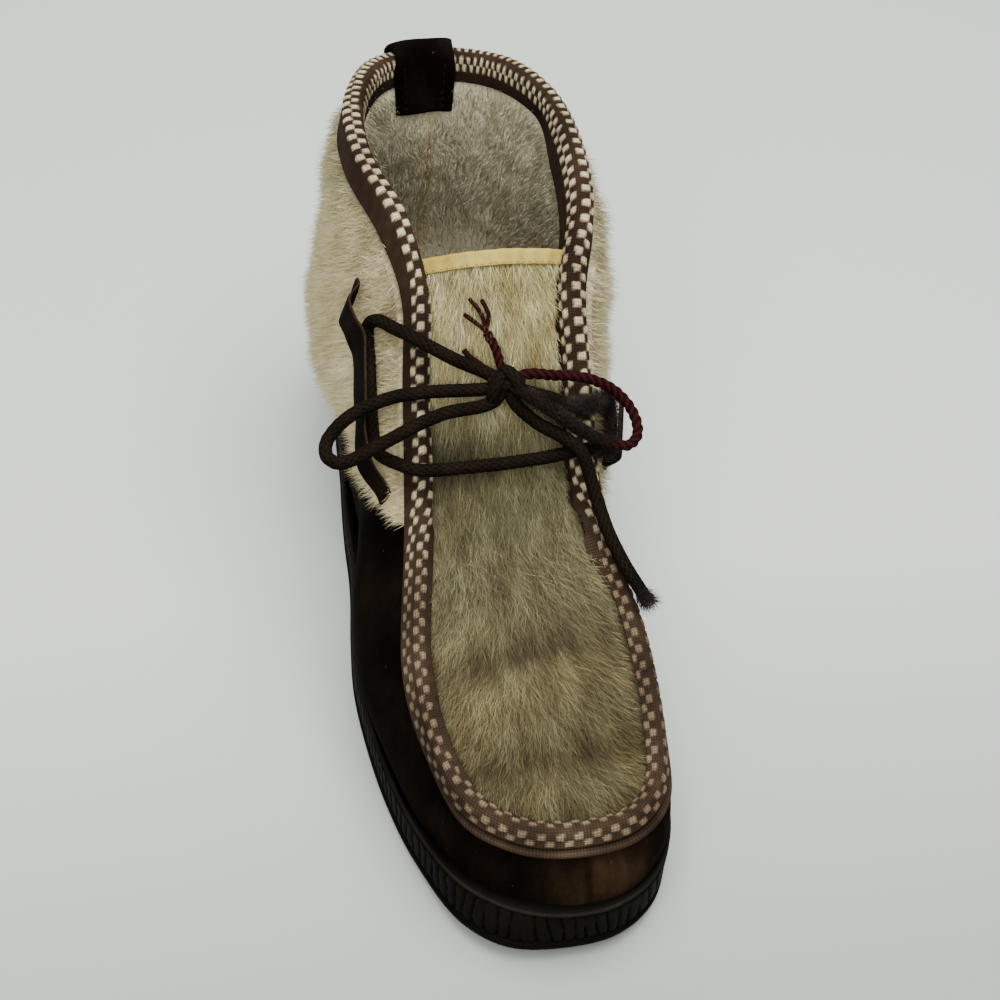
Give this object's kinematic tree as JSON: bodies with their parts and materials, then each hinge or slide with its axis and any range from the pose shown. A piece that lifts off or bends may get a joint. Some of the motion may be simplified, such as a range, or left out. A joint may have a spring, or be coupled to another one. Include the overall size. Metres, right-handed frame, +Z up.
{
  "type": "snow boot",
  "caption": "Right ankle-high snow boot: hollow suede moccasin upper, fur quarters and apron, woven binding tape, leather lace keepers, a tied lace and a lugged rubber cup sole.",
  "frame": {"origin": "on the floor under the middle of the heel", "axes": "+Z up, toe towards -Y, the inner (medial) side of the foot towards +X"},
  "size_m": [0.1001, 0.2733, 0.146],
  "materials": {
    "sole_rubber": "matt moulded rubber with a fine crosswise rib",
    "lining_pile": "matted grey-beige pile",
    "suede": "dark brown suede with worn nap",
    "shaft_fur": "cream-beige fur that lies downwards",
    "apron_fur": "olive-beige fur that lies towards the toe",
    "hem_leather": "pale folded leather",
    "woven_tape": "brown woven tape with cream checks",
    "keeper_leather": "dark cut leather strip",
    "lace_cord": "dark brown braided cord",
    "lace_core": "burgundy twisted core of the lace"
  },
  "bodies": {
    "root": {"outsole": "sole_rubber", "insole": "lining_pile", "upper": "suede", "quarter_lateral": "shaft_fur", "quarter_medial": "shaft_fur", "apron_tongue": "apron_fur", "tongue_hem": "hem_leather", "binding_tape": "woven_tape", "pull_tab": "suede", "keeper_lateral": "keeper_leather", "keeper_medial": "keeper_leather", "lace_run": "lace_cord", "lace_knot": "lace_cord", "lace_loop_lateral": "lace_cord", "lace_loop_medial": "lace_core", "lace_end_long": "lace_cord", "lace_end_short": "lace_core"}
  },
  "joints": []
}
